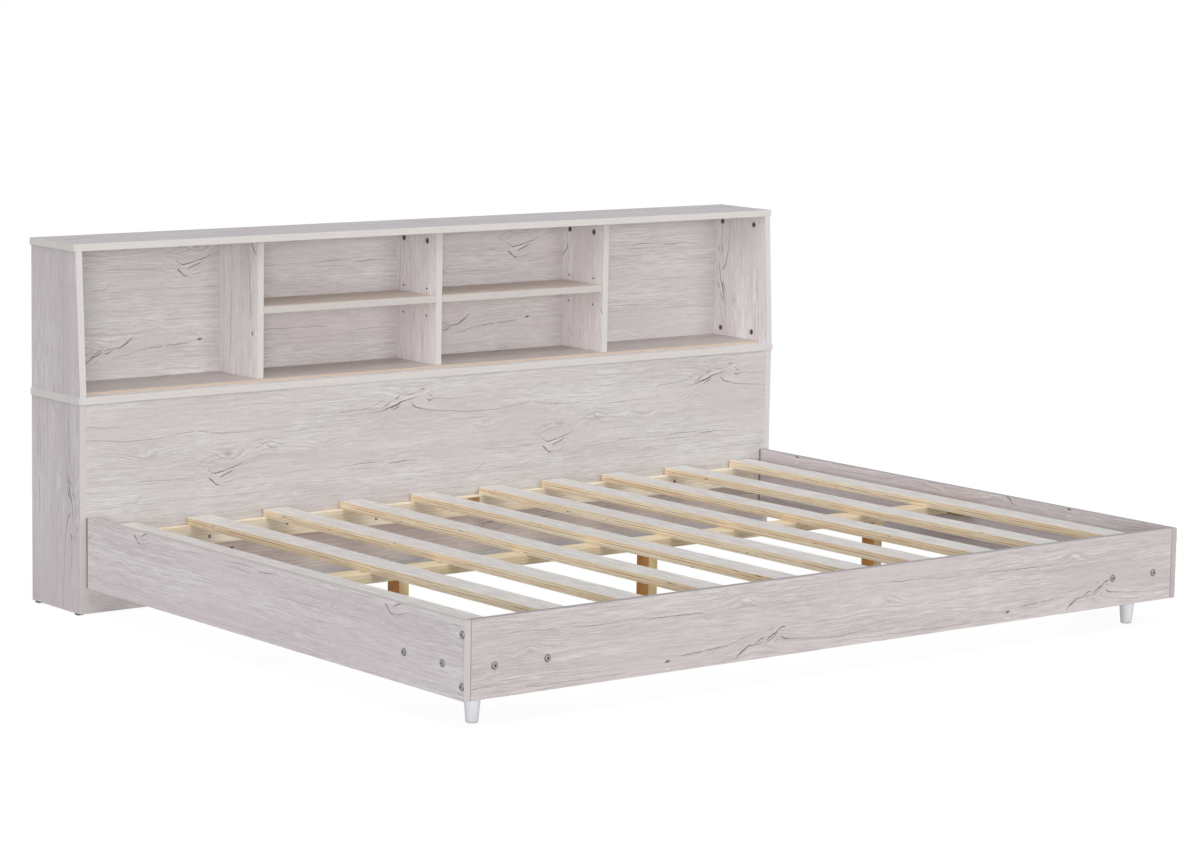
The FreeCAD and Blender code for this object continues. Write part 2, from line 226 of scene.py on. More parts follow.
# Stretchers at the rear of the lower cabinet, and where X = 0 and Z = 0 fall on the film
STRETCHERS = [("rear_stretcher_lower", (0.30, 0.1)), ("rear_stretcher_upper", (0.12, 0.1))]
BACK_START = (-0.044, -0.452)
FRONT_RAIL_START = (-0.143, 0.201)
LEFT_RAIL_START = (-0.266, 0.070)
RIGHT_RAIL_START = (-0.150, 0.335)

# Painted shadow lines where a side rail meets the front panel and the front rail: how far from the
# joint the line starts and where it is darkest
PANEL_JOINT_SHADOW = (0.0075, 0.0060)
RAIL_JOINT_SHADOW = (0.0025, 0.0010)
JOINT_SHADOW_DEPTH = 0.8
# How far under a board's face the painted shade in its holes starts, and is whole
HOLE_DEPTHS = (0.0004, 0.0010)
# The notch in the head ledger's face, whose floor gets painted shade: its depth, and how far below
# the top it ends, from and to
NOTCH_DEPTHS = (0.006, 0.008)
NOTCH_TOP = (0.006, 0.004)
# The painted warm light on the front panel's foot fades out over this height below the rails
FOOT_FADE = 0.03
SLATS = 10
LATHE_STEPS = 32

# The highlights of wood and of the legs' paint
WOOD_SHINE, PAINT_SHINE = 0.3, 0.45
# How far the plies wander, as a share of the board's thickness, and the height of each glue line in
# the same measure, with its strength
PLY_WAVE = 0.22
GLUE_LINES = ((0.22, 0.60), (0.52, 0.90), (0.80, 0.50))


# ---------------------------------------------------------------- nodes
class Paint:
    """The nodes of a material or a group. Most methods add a node and return its output."""

    def __init__(self, tree):
        self.tree = tree
        self.shader = tree.nodes.get("Principled BSDF")

    @classmethod
    def on(cls, material):
        """The helpers for a material, new or painted already."""
        material.use_nodes = True
        paint = cls(material.node_tree)
        paint.material = material
        return paint

    @classmethod
    def new(cls, name):
        return cls.on(bpy.data.materials.new(name))

    def add(self, kind, values, output=0, **settings):
        node = self.tree.nodes.new(kind)
        for key, value in settings.items():
            setattr(node, key, value)
        for key, value in values.items():
            self.feed(node.inputs[key], value)
        return node.outputs[output]

    def feed(self, socket, value):
        if isinstance(value, bpy.types.NodeSocket):
            self.tree.links.new(value, socket)
        else:
            socket.default_value = value

    def math(self, operation, first, second=0.0, third=0.0):
        return self.add("ShaderNodeMath", {0: first, 1: second, 2: third}, operation=operation)

    def sum(self, *terms):
        total = terms[0]
        for term in terms[1:]:
            total = self.math("ADD", total, term)
        return total

    def times(self, first, second):
        return self.math("MULTIPLY", first, second)

    def plus_times(self, base, value, factor):
        """base + value * factor"""
        return self.math("MULTIPLY_ADD", value, factor, base)

    def between(self, share, low, high):
        """low where share is 0, high where it is 1."""
        return self.math("MULTIPLY_ADD", share, high - low, low)

    def away(self, value, middle):
        return self.math("ABSOLUTE", self.math("SUBTRACT", value, middle))

    def fade(self, value, low, high, start=0.0, end=1.0):
        """start below low, end above high, and a smooth change between them."""
        values = {"Value": value, 1: low, 2: high, 3: start, 4: end}
        return self.add("ShaderNodeMapRange", values, interpolation_type="SMOOTHSTEP")

    def place(self):
        """The point in the object's own space, as three numbers."""
        point = self.add("ShaderNodeTexCoord", {}, output="Object")
        return [self.add("ShaderNodeSeparateXYZ", {0: point}, output=axis) for axis in range(3)]

    def facing(self, axis):
        """1 on faces square to the axis, 0 on faces along it."""
        normal = self.add("ShaderNodeTexCoord", {}, output="Normal")
        share = self.add("ShaderNodeSeparateXYZ", {0: normal}, output=axis)
        return self.fade(self.math("ABSOLUTE", share), 0.6, 0.8)

    def point(self, place, scales, last=0.0):
        """Two or three numbers of a place, each times its scale, with last as the third of two."""
        values = [self.times(value, scale) for value, scale in zip(place, scales)]
        values += [last] * (3 - len(values))
        return self.add("ShaderNodeCombineXYZ", dict(enumerate(values)))

    def noise(self, place, scales, detail=2.0, roughness=0.5, last=0.0):
        values = {
            "Vector": self.point(place, scales, last),
            "Scale": 1.0,
            "Detail": detail,
            "Roughness": roughness,
        }
        return self.add("ShaderNodeTexNoise", values)

    def curve(self, value, points):
        """A smooth curve through the points (input, output)."""
        node = self.tree.nodes.new("ShaderNodeFloatCurve")
        node.mapping.use_clip = False
        line = node.mapping.curves[0]
        line.points[0].location = points[0]
        line.points[1].location = points[-1]
        for x, y in points[1:-1]:
            line.points.new(x, y)
        for point in line.points:
            point.handle_type = "AUTO_CLAMPED"
        node.mapping.update()
        self.feed(node.inputs["Value"], value)
        return node.outputs[0]

    def mix(self, share, first, second, blend="MIX"):
        values = {"Factor": share, 6: first, 7: second}
        return self.add("ShaderNodeMix", values, output=2, data_type="RGBA", blend_type=blend)

    def bump(self, height, strength, distance):
        values = {"Height": height, "Strength": strength, "Distance": distance}
        self.feed(self.shader.inputs["Normal"], self.add("ShaderNodeBump", values))

    def finish(self, colour, roughness, **constants):
        self.feed(self.shader.inputs["Base Color"], colour)
        self.feed(self.shader.inputs["Roughness"], roughness)
        for key, value in constants.items():
            self.shader.inputs[key.replace("_", " ")].default_value = value
        return self.material

    def paint_over(self, share, colour, blend="MIX"):
        """Lays a colour over the finished one, where share isn't 0."""
        socket = self.shader.inputs["Base Color"]
        plain = socket.links[0].from_socket
        self.tree.links.new(self.mix(share, plain, colour, blend), socket)
        return self.material


# ---------------------------------------------------------------- the printed oak film
# The printed film that covers the boards repeats along its grain.
FILM_REPEAT = 0.945
FILM_START = -0.700

# Marks of the print as (along, across, half width), the first two in metres on the film and the last
# in millimetres. A mark under 1 mm is fainter too.
CRACKS = [
    # a knot with two arms, left of the middle
    [(-0.669, 0.282, 0.8), (-0.665, 0.280, 2.0), (-0.655, 0.272, 2.2), (-0.645, 0.264, 1.8),
     (-0.636, 0.265, 0.8), (-0.607, 0.270, 0.7), (-0.587, 0.277, 0.3)],
    [(-0.672, 0.302, 0.4), (-0.662, 0.296, 1.2), (-0.655, 0.291, 1.2), (-0.648, 0.291, 1.4),
     (-0.637, 0.293, 1.5), (-0.617, 0.297, 1.4), (-0.597, 0.303, 1.2), (-0.570, 0.312, 0.4)],
    [(-0.640, 0.280, 0.5), (-0.633, 0.283, 1.5), (-0.620, 0.288, 1.5), (-0.605, 0.293, 1.2),
     (-0.595, 0.297, 0.4)],
    [(-0.699, 0.312, 0.7), (-0.688, 0.311, 0.8), (-0.676, 0.306, 0.5)],
    [(-0.515, 0.350, 0.6), (-0.510, 0.343, 1.4), (-0.500, 0.339, 1.1), (-0.478, 0.337, 0.7)],
    # an eye right of it, in rings
    [(-0.548, 0.336, 0.3), (-0.527, 0.346, 0.9), (-0.505, 0.352, 0.9), (-0.482, 0.347, 0.7),
     (-0.462, 0.337, 0.3)],
    [(-0.532, 0.333, 0.3), (-0.508, 0.335, 0.9), (-0.484, 0.333, 0.3)],
    [(-0.573, 0.345, 0.3), (-0.545, 0.357, 0.6), (-0.505, 0.362, 0.7), (-0.465, 0.356, 0.3)],
    # rings over the knot
    [(-0.700, 0.312, 0.3), (-0.672, 0.327, 0.6), (-0.640, 0.334, 0.8), (-0.605, 0.333, 0.6),
     (-0.575, 0.325, 0.3)],
    [(-0.684, 0.306, 0.3), (-0.655, 0.319, 0.7), (-0.625, 0.324, 0.7), (-0.595, 0.321, 0.3)],
    # a feathered crotch with a long tail
    [(-0.320, 0.402, 0.5), (-0.290, 0.406, 1.0), (-0.250, 0.407, 0.9), (-0.223, 0.412, 0.8),
     (-0.207, 0.418, 0.9), (-0.183, 0.427, 0.4)],
    [(-0.240, 0.396, 0.3), (-0.207, 0.397, 0.9), (-0.180, 0.404, 1.6), (-0.157, 0.409, 2.1),
     (-0.148, 0.413, 2.6), (-0.140, 0.417, 1.9), (-0.123, 0.421, 1.3), (-0.103, 0.424, 1.2),
     (-0.088, 0.428, 0.4)],
    [(-0.196, 0.404, 0.4), (-0.188, 0.409, 1.1), (-0.180, 0.414, 1.3), (-0.173, 0.420, 0.8),
     (-0.166, 0.425, 0.3)],
    [(-0.186, 0.406, 0.4), (-0.177, 0.413, 1.2), (-0.170, 0.417, 0.9), (-0.162, 0.423, 0.4)],
    [(-0.160, 0.423, 0.4), (-0.155, 0.426, 1.4), (-0.147, 0.429, 1.6), (-0.141, 0.432, 0.5)],
    [(-0.168, 0.400, 0.3), (-0.158, 0.402, 1.3), (-0.148, 0.406, 1.6), (-0.138, 0.411, 0.4)],
    [(-0.134, 0.434, 0.3), (-0.128, 0.440, 0.9), (-0.121, 0.443, 0.4)],
    [(-0.126, 0.430, 0.3), (-0.112, 0.434, 0.8), (-0.098, 0.433, 0.4)],
    [(-0.114, 0.421, 0.5), (-0.111, 0.416, 1.4), (-0.107, 0.409, 1.9), (-0.100, 0.404, 1.6),
     (-0.083, 0.398, 1.3), (-0.057, 0.392, 1.0), (-0.030, 0.389, 0.9), (0.010, 0.386, 0.8),
     (0.060, 0.381, 0.9), (0.130, 0.381, 0.8), (0.180, 0.386, 0.8), (0.244, 0.391, 0.8)],
    [(-0.088, 0.443, 0.4), (-0.080, 0.444, 1.4), (-0.070, 0.444, 0.5)],
    [(-0.066, 0.437, 0.4), (-0.060, 0.431, 1.3), (-0.054, 0.425, 1.4), (-0.047, 0.428, 0.5)],
    [(-0.068, 0.421, 0.4), (-0.061, 0.417, 1.8), (-0.053, 0.416, 1.5), (-0.046, 0.419, 0.8),
     (0.010, 0.415, 0.7), (0.050, 0.411, 0.4)],
    [(-0.058, 0.442, 0.4), (-0.051, 0.435, 1.0), (-0.045, 0.432, 0.3)],
    # long cracks
    [(-0.699, 0.391, 0.6), (-0.660, 0.385, 0.8), (-0.630, 0.381, 1.0), (-0.600, 0.380, 0.7),
     (-0.540, 0.381, 0.5), (-0.500, 0.382, 0.5), (-0.420, 0.385, 0.4)],
    [(-0.478, 0.371, 0.4), (-0.440, 0.372, 0.8), (-0.400, 0.373, 0.7), (-0.330, 0.375, 0.5),
     (-0.300, 0.374, 0.2)],
    [(-0.610, 0.274, 0.4), (-0.550, 0.273, 0.4), (-0.500, 0.272, 0.4), (-0.420, 0.278, 0.7),
     (-0.360, 0.279, 0.4), (-0.300, 0.279, 0.5), (-0.240, 0.281, 1.0), (-0.200, 0.281, 0.7),
     (-0.180, 0.280, 0.3)],
    [(-0.300, 0.270, 0.4), (-0.250, 0.269, 0.8), (-0.220, 0.268, 0.7), (-0.200, 0.268, 0.3)],
    [(-0.180, 0.276, 0.7), (-0.150, 0.276, 1.2), (-0.120, 0.278, 1.0), (-0.090, 0.275, 0.6),
     (-0.060, 0.275, 0.3)],
    [(0.080, 0.289, 0.6), (0.120, 0.287, 0.7), (0.200, 0.285, 0.7), (0.244, 0.287, 0.5)],
    [(-0.699, 0.238, 0.5), (-0.500, 0.237, 0.4), (-0.300, 0.236, 0.3), (-0.100, 0.235, 0.5),
     (0.080, 0.236, 0.6), (0.244, 0.238, 0.4)],
    [(-0.410, 0.229, 0.5), (-0.360, 0.230, 0.5), (-0.300, 0.230, 0.4), (-0.240, 0.234, 0.3)],
    [(-0.200, 0.194, 0.5), (-0.140, 0.193, 0.4)],
    [(0.078, 0.238, 0.6), (0.095, 0.250, 0.9), (0.108, 0.259, 0.5)],
    [(-0.500, 0.128, 0.4), (-0.460, 0.129, 0.7), (-0.400, 0.129, 0.8), (-0.340, 0.128, 0.6),
     (-0.300, 0.128, 0.8), (-0.250, 0.126, 0.5)],
    [(-0.480, 0.117, 0.3), (-0.420, 0.116, 0.4), (-0.300, 0.114, 0.3)],
    # a second feather with its pin knot
    [(-0.200, 0.112, 0.3), (-0.170, 0.113, 0.7), (-0.120, 0.116, 0.8), (-0.085, 0.115, 0.7),
     (-0.029, 0.111, 0.8), (0.012, 0.107, 1.0), (0.025, 0.105, 1.2), (0.033, 0.103, 1.7),
     (0.038, 0.099, 1.7), (0.043, 0.095, 0.8)],
    [(0.024, 0.083, 0.3), (0.031, 0.079, 1.2), (0.038, 0.079, 1.6), (0.048, 0.086, 1.4),
     (0.055, 0.091, 1.8), (0.062, 0.093, 1.5), (0.068, 0.095, 1.9), (0.076, 0.101, 1.6),
     (0.081, 0.104, 0.5)],
    [(0.082, 0.101, 0.6), (0.090, 0.097, 1.4), (0.100, 0.101, 1.4), (0.110, 0.108, 1.0),
     (0.118, 0.111, 0.4)],
    [(0.085, 0.104, 0.5), (0.091, 0.106, 1.1), (0.108, 0.109, 1.0), (0.128, 0.110, 1.5),
     (0.140, 0.116, 2.0), (0.148, 0.121, 2.2), (0.156, 0.128, 1.6), (0.163, 0.134, 0.4)],
    [(0.045, 0.089, 0.3), (0.056, 0.096, 1.1), (0.071, 0.104, 1.3), (0.080, 0.108, 0.9),
     (0.090, 0.114, 0.3)],
    [(0.044, 0.101, 0.3), (0.050, 0.104, 1.1), (0.058, 0.109, 0.4)],
    [(0.058, 0.079, 0.3), (0.066, 0.080, 1.1), (0.074, 0.084, 0.3)],
    [(0.028, 0.089, 0.3), (0.036, 0.087, 0.9), (0.045, 0.082, 0.3)],
    [(0.091, 0.075, 0.3), (0.118, 0.089, 0.6), (0.145, 0.091, 0.8), (0.171, 0.100, 0.8),
     (0.200, 0.103, 1.0), (0.244, 0.107, 1.1)],
    [(-0.699, 0.107, 1.2), (-0.660, 0.109, 1.1), (-0.630, 0.110, 0.3)],
    [(-0.613, 0.117, 0.3), (-0.607, 0.117, 3.2), (-0.603, 0.118, 2.5), (-0.597, 0.119, 0.3)],
    [(-0.699, 0.028, 0.8), (-0.660, 0.027, 1.0), (-0.600, 0.026, 1.1), (-0.555, 0.025, 0.8),
     (-0.520, 0.021, 0.5), (-0.470, 0.024, 0.7), (-0.420, 0.024, 0.8), (-0.380, 0.020, 0.8),
     (-0.340, 0.019, 0.7), (-0.290, 0.018, 1.0), (-0.250, 0.016, 0.6), (-0.200, 0.016, 0.3)],
    [(0.020, 0.024, 0.3), (0.060, 0.026, 0.5), (0.100, 0.027, 0.6), (0.150, 0.027, 0.4),
     (0.244, 0.026, 0.5)],
]
# Light lines beside them
GLEAMS = [
    [(-0.660, 0.284, 0.6), (-0.640, 0.288, 1.6), (-0.610, 0.298, 1.2), (-0.600, 0.302, 0.5)],
    [(-0.698, 0.279, 1.0), (-0.675, 0.278, 1.2), (-0.668, 0.277, 0.5)],
    [(-0.640, 0.268, 0.6), (-0.610, 0.275, 1.0), (-0.580, 0.281, 0.5)],
    [(-0.503, 0.347, 0.8), (-0.490, 0.346, 1.8), (-0.476, 0.345, 0.8)],
    [(-0.178, 0.409, 0.6), (-0.155, 0.416, 1.6), (-0.130, 0.423, 1.6), (-0.110, 0.427, 0.6)],
    [(-0.100, 0.407, 0.6), (-0.070, 0.402, 1.4), (-0.030, 0.398, 0.5)],
    [(-0.614, 0.131, 0.6), (-0.607, 0.132, 2.4), (-0.600, 0.131, 0.6)],
    [(0.090, 0.112, 0.6), (0.120, 0.114, 1.4), (0.140, 0.123, 0.6)],
    [(0.120, 0.016, 0.6), (0.135, 0.014, 3.4), (0.150, 0.012, 0.8)],
]
# Places where the grain swells round a flaw: along, across, reach along, reach across, and how far
# it is pushed
SWELLS = [
    (-0.615, 0.320, 0.050, 0.020, 0.024),
    (-0.185, 0.376, 0.036, 0.015, -0.018),
    (-0.130, 0.428, 0.070, 0.018, 0.018),
    (-0.355, 0.334, 0.034, 0.011, 0.010),
    (0.115, 0.336, 0.048, 0.016, 0.015),
    (0.100, 0.106, 0.070, 0.020, 0.018),
    (-0.260, 0.046, 0.034, 0.013, 0.012),
    (0.140, 0.012, 0.034, 0.014, 0.014),
]

# How a mark fades inside and outside its rim, and how much wider than traced it is drawn
MARK_SOFTNESS = 0.0019
MARK_BLUR = 0.0005
MARK_SPREAD = 1.2
# The least gap between two marks of one track, the share of it that a mark takes to end in, and the
# half width, below zero, where there is no mark
MARK_GAP = 0.012
MARK_END = 0.3
OUTSIDE = -0.003

# Scales of the print's noises along and across the film, per metre, and those of the banding
WANDER, QUIVER, JITTER = (4.0, 8.0), (45.0, 60.0), (150.0, 150.0)
CLOUDS, BLUSH, WIDE, FINE = (1.8, 14.0), (3.1, 11.0), (2.8, 165.0), (20.0, 400.0)
PORES, HAIR, SPARSE, BREAKS = (75.0, 1500.0), (2.6, 30.0), (6.0, 30.0), (120.0, 260.0)
BAND_GRAIN = (12.0, 420.0, 420.0)
# How far the first three push the grain and the marks
WANDER_PUSH, QUIVER_PUSH = 0.022, 0.0018
MARK_QUIVER, MARK_JITTER = 0.0050, 0.0030
# The parts of the tone, and the contours that show where the grain swells
CLOUD_SHARE, WIDE_SHARE, FINE_SHARE = 1.1, 1.5, 2.2
RING_RATE, RING_DRIFT = 1000.0, 4.0
RING_PLAIN, RING_SWOLLEN = 0.03, 0.33
# How strongly each flaw shows
BLUSH_SHARE, PORE_SHARE, HAIR_SHARE = 0.5, 0.22, 0.12
SWELL_SHADE, GLEAM_SHARE, BREAK_SHARE = 0.05, 0.55, 0.66


def tracks(marks):
    """Marks shared out among as few tracks as hold them end to end, each sorted along the film."""
    found = []
    for mark in sorted(marks, key=lambda points: points[0][0]):
        for track in found:
            if track[-1][-1][0] + MARK_GAP < mark[0][0]:
                track.append(mark)
                break
        else:
            found.append([mark])
    return found


def track_mask(paint, along, across, track):
    """How dark a track's marks are at a point: 1 inside a mark, 0 away from all of them."""
    middle, width = [], []
    for mark in track:
        width.append((mark[0][0] - MARK_END * MARK_GAP, OUTSIDE))
        for u, v, half_width in mark:
            middle.append((u, v))
            width.append((u, MARK_SPREAD * half_width / 1000))
        width.append((mark[-1][0] + MARK_END * MARK_GAP, OUTSIDE))
    away = paint.away(across, paint.curve(along, middle))
    depth = paint.math("SUBTRACT", paint.curve(along, width), away)
    return paint.fade(depth, -MARK_BLUR, MARK_SOFTNESS)


def marks_mask(paint, along, across, marks):
    total = 0.0
    for track in tracks(marks):
        total = paint.math("MAXIMUM", track_mask(paint, along, across, track), total)
    return total


def swell(paint, along, across, place):
    """How strong a swelling of the grain is at a point, from 0 to 1."""
    centre_u, centre_v, reach_u, reach_v, _ = place
    u = paint.plus_times(-centre_u / reach_u, along, 1 / reach_u)
    v = paint.plus_times(-centre_v / reach_v, across, 1 / reach_v)
    square = paint.plus_times(paint.times(v, v), u, u)
    return paint.math("POWER", 0.4, square)


def film_group():
    """The print as a node group: a point along and across the film in, its colour and the depth of
    its marks out. Sheet sets the fine grain of one board apart from another's."""
    group = bpy.data.node_groups.new("oak_film", "ShaderNodeTree")
    for name in ("Along", "Across", "Sheet"):
        group.interface.new_socket(name, in_out="INPUT", socket_type="NodeSocketFloat")
    group.interface.new_socket("Color", in_out="OUTPUT", socket_type="NodeSocketColor")
    group.interface.new_socket("Dark", in_out="OUTPUT", socket_type="NodeSocketFloat")
    paint = Paint(group)
    ends = [group.nodes.new("NodeGroupInput"), group.nodes.new("NodeGroupOutput")]
    along, across, sheet = ends[0].outputs[:3]
    tile = paint.math("WRAP", along, FILM_START + FILM_REPEAT, FILM_START)

    # the grain wanders, quivers, and swells round each flaw
    spot = (tile, across)
    quiver = paint.noise(spot, QUIVER, 3.0, 0.6)
    mark_across = paint.sum(across, -(MARK_QUIVER + MARK_JITTER) / 2)
    mark_across = paint.plus_times(mark_across, quiver, MARK_QUIVER)
    mark_across = paint.plus_times(mark_across, paint.noise(spot, JITTER), MARK_JITTER)
    flow = paint.plus_times(across, paint.noise(spot, WANDER), WANDER_PUSH)
    flow = paint.plus_times(flow, quiver, QUIVER_PUSH)
    figure = 0.0
    for place in SWELLS:
        strength = swell(paint, tile, across, place)
        flow = paint.plus_times(flow, strength, place[4])
        figure = paint.math("MAXIMUM", strength, figure)

    # clouds, and streaks of two widths along the flow
    grain = (along, flow)
    clouds = paint.noise(grain, CLOUDS, 3.0, 0.55, sheet)
    wide = paint.noise(grain, WIDE, 4.0, 0.70, sheet)
    fine = paint.noise(grain, FINE, 3.0, 0.65, sheet)
    ring = paint.math("SINE", paint.plus_times(paint.times(wide, RING_DRIFT), flow, RING_RATE))
    tone = paint.sum(
        paint.between(clouds, -CLOUD_SHARE / 2, CLOUD_SHARE / 2),
        paint.between(wide, -WIDE_SHARE / 2, WIDE_SHARE / 2),
        paint.between(fine, -FINE_SHARE / 2, FINE_SHARE / 2),
    )
    tone = paint.plus_times(tone, ring, paint.between(figure, RING_PLAIN, RING_SWOLLEN))
    blush = paint.noise((along, across), BLUSH, last=paint.sum(sheet, 5.3))
    pores = paint.noise(grain, PORES, 1.0, last=sheet)

    # short hairline cracks, and the marks, broken up a little
    hair = paint.away(paint.noise(grain, HAIR, 2.0, 0.55, paint.sum(sheet, 3.7)), 0.5)
    sparse = paint.noise((along, across), SPARSE, last=paint.sum(sheet, 8.1))
    some = paint.fade(sparse, 0.54, 0.66, 0.0, HAIR_SHARE)
    hair = paint.times(paint.fade(hair, 0.0, 0.010, 1.0, 0.0), some)
    marks = marks_mask(paint, tile, mark_across, CRACKS)
    gleams = marks_mask(paint, tile, mark_across, GLEAMS)
    whole = paint.fade(paint.noise(spot, BREAKS), 0.20, 0.50, BREAK_SHARE, 1.0)
    marks = paint.math("MAXIMUM", paint.times(marks, whole), hair)

    colour = paint.mix(paint.fade(tone, -0.42, 0.10), FILM_DEEP, FILM_PLAIN)
    colour = paint.mix(paint.fade(tone, -0.02, 0.42), colour, FILM_PALE)
    colour = paint.mix(paint.fade(blush, 0.40, 0.62, 0.0, BLUSH_SHARE), colour, FILM_BLUSH)
    colour = paint.mix(paint.fade(pores, 0.58, 0.72, 0.0, PORE_SHARE), colour, FILM_CRACK)
    colour = paint.mix(paint.fade(figure, 0.2, 1.0, 0.0, SWELL_SHADE), colour, FILM_CRACK)
    colour = paint.mix(paint.times(gleams, GLEAM_SHARE), colour, FILM_GLEAM)
    colour = paint.mix(marks, colour, FILM_CRACK)
    group.links.new(colour, ends[1].inputs[0])
    group.links.new(marks, ends[1].inputs[1])
    return group


FILM = film_group()


class Grain:
    """How the film lies on a board: the board's axis and sense along the grain, those across it, the
    axis of the board's thickness, and where the board's zero falls on the film each way."""

    def __init__(self, along, across, thickness, start=(0.0, 0.0)):
        self.along, self.across, self.thickness, self.start = along, across, thickness, start

    def on_film(self, paint, place):
        ways = zip((self.along, self.across), self.start)
        return [paint.plus_times(start, place[axis], sense) for (axis, sense), start in ways]


def inside(paint, place, node):
    """1 in the holes of a square-cut board, 0 on its outer faces."""
    start, whole = HOLE_DEPTHS
    share = 1.0
    for value, low, high in zip(place, *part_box(node)):
        half = (high - low) / 2
        away = paint.away(value, (low + high) / 2)
        share = paint.times(paint.fade(away, half - whole, half - start, 1.0, 0.0), share)
    return share


def laminate(name, grain, sheet=0.0, tone_and_light=WHITE, edges=None, joint_shadows=(), bored=None):
    """The film on a board's two broad faces, and paler banding on its edges. edges has other colours
    for the edges that face along an axis. Painted shadow lines, where a butted board meets another,
    are each given as the axis that the marked face looks along, the axis across the line, where it
    starts and where it is darkest. bored names a square-cut board whose holes are painted dark as
    shade."""
    paint = Paint.new(name)
    place = paint.place()
    film = paint.tree.nodes.new("ShaderNodeGroup")
    film.node_tree = FILM
    for socket, value in zip(film.inputs, grain.on_film(paint, place)):
        paint.feed(socket, value)
    film.inputs["Sheet"].default_value = sheet
    # The board's print tone, and on some boards painted light that lifts or warms the film
    colour = paint.mix(1.0, film.outputs[0], tone_and_light, "MULTIPLY")

    axes = (grain.along[0], grain.across[0], grain.thickness)
    fine = paint.noise([place[axis] for axis in axes], BAND_GRAIN)
    band = paint.mix(fine, BAND_DEEP, BAND_PALE)
    for axis, edge in (edges or {}).items():
        band = paint.mix(paint.facing(axis), band, paint.mix(fine, scaled(edge, 0.9), edge))
    colour = paint.mix(paint.facing(grain.thickness), band, colour)
    # Painted shadow lines where butted boards meet
    for facing, axis, start, darkest in joint_shadows:
        ends = (0.0, JOINT_SHADOW_DEPTH) if darkest > start else (JOINT_SHADOW_DEPTH, 0.0)
        dark = paint.fade(place[axis], min(start, darkest), max(start, darkest), *ends)
        colour = paint.mix(paint.times(dark, paint.facing(facing)), colour, JOINT_SHADOW)
    # Painted shade inside the holes
    if bored:
        colour = paint.mix(inside(paint, place, bored), colour, HOLE_SHADE)
    paint.bump(paint.plus_times(paint.times(fine, 0.5), film.outputs[1], -1.0), 0.15, 0.0005)
    return paint.finish(colour, paint.between(fine, 0.48, 0.60), Specular_IOR_Level=WOOD_SHINE)


# ---------------------------------------------------------------- timber, plywood, paint and metal
# Scales of the noises, per metre. Wood's are along the grain first, and a ply's height is in shares
# of the board's thickness.
PINE_BEND, PINE_FIBRE, PINE_CLOUD = (4.0, 20.0, 20.0), (18.0, 420.0, 420.0), (5.0, 30.0, 30.0)
PINE_RINGS, PINE_KNOTS = 1400.0, (6.0, 11.0, 11.0)
PLY_MOTTLE, PLY_STREAK, PLY_BEND = (14.0, 90.0), (30.0, 420.0), (5.0, 9.0)
PLY_TONE, PLY_FIBRE = (1.2, 3.0, 3.6), (22.0, 60.0, 260.0)
PLY_BREAKS, PLY_VOIDS = (9.0, 15.0), (22.0, 22.0, 260.0)
LEG_STREAK, TOOL_MARKS, PLASTIC_GRAIN = (160.0, 160.0, 9.0), (900.0,) * 3, (700.0,) * 3


def pine(name, grain, pale, deep, knots=0.55):
    """Planed softwood with growth lines along the grain and a few small knots."""
    paint = Paint.new(name)
    place = paint.place()
    place = [place.pop(grain)] + place
    bend = paint.noise(place, PINE_BEND)
    radius = paint.sum(place[1], paint.times(place[2], 0.6), paint.times(bend, 0.016))
    ring = paint.math("SINE", paint.times(radius, PINE_RINGS))
    fibre = paint.noise(place, PINE_FIBRE, 3.0)
    cloud = paint.noise(place, PINE_CLOUD, 3.0)
    tone = paint.sum(
        paint.times(ring, 0.16),
        paint.between(fibre, -0.4, 0.4),
        paint.between(cloud, -0.25, 1.25),
    )
    colour = paint.mix(paint.fade(tone, 0.0, 1.0), pale, deep)
    spots = {"Vector": paint.point(place, PINE_KNOTS), "Scale": 1.0}
    knot = paint.fade(paint.add("ShaderNodeTexVoronoi", spots), 0.03, 0.085, knots, 0.0)
    colour = paint.mix(knot, colour, KNOT)
    paint.bump(fibre, 0.12, 0.0006)
    return paint.finish(colour, paint.between(fibre, 0.52, 0.67), Specular_IOR_Level=WOOD_SHINE)


def head_strip():
    """The head ledger's pine, with painted shade darkening the floor of the notch in its face."""
    paint = Paint.on(pine("pine_head_ledger", 0, PINE_PALE, PINE_DEEP))
    _, depth, height = paint.place()
    low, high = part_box("head_ledger")
    start, whole = (low[1] + notch for notch in NOTCH_DEPTHS)
    end, gone = (high[2] - notch for notch in NOTCH_TOP)
    share = paint.times(paint.fade(depth, start, whole), paint.fade(height, end, gone, 1.0, 0.0))
    return paint.paint_over(paint.times(share, paint.facing(1)), NOTCH_SHADE)


def post_wood():
    """Square posts, paler pine on the front and back, with painted shade, orange-brown, on the
    sides.
    """
    paint = Paint.on(pine("pine_post", 2, POST_PALE, POST_DEEP, 0.6))
    return paint.paint_over(paint.facing(0), POST_SIDE_SHADE, "MULTIPLY")


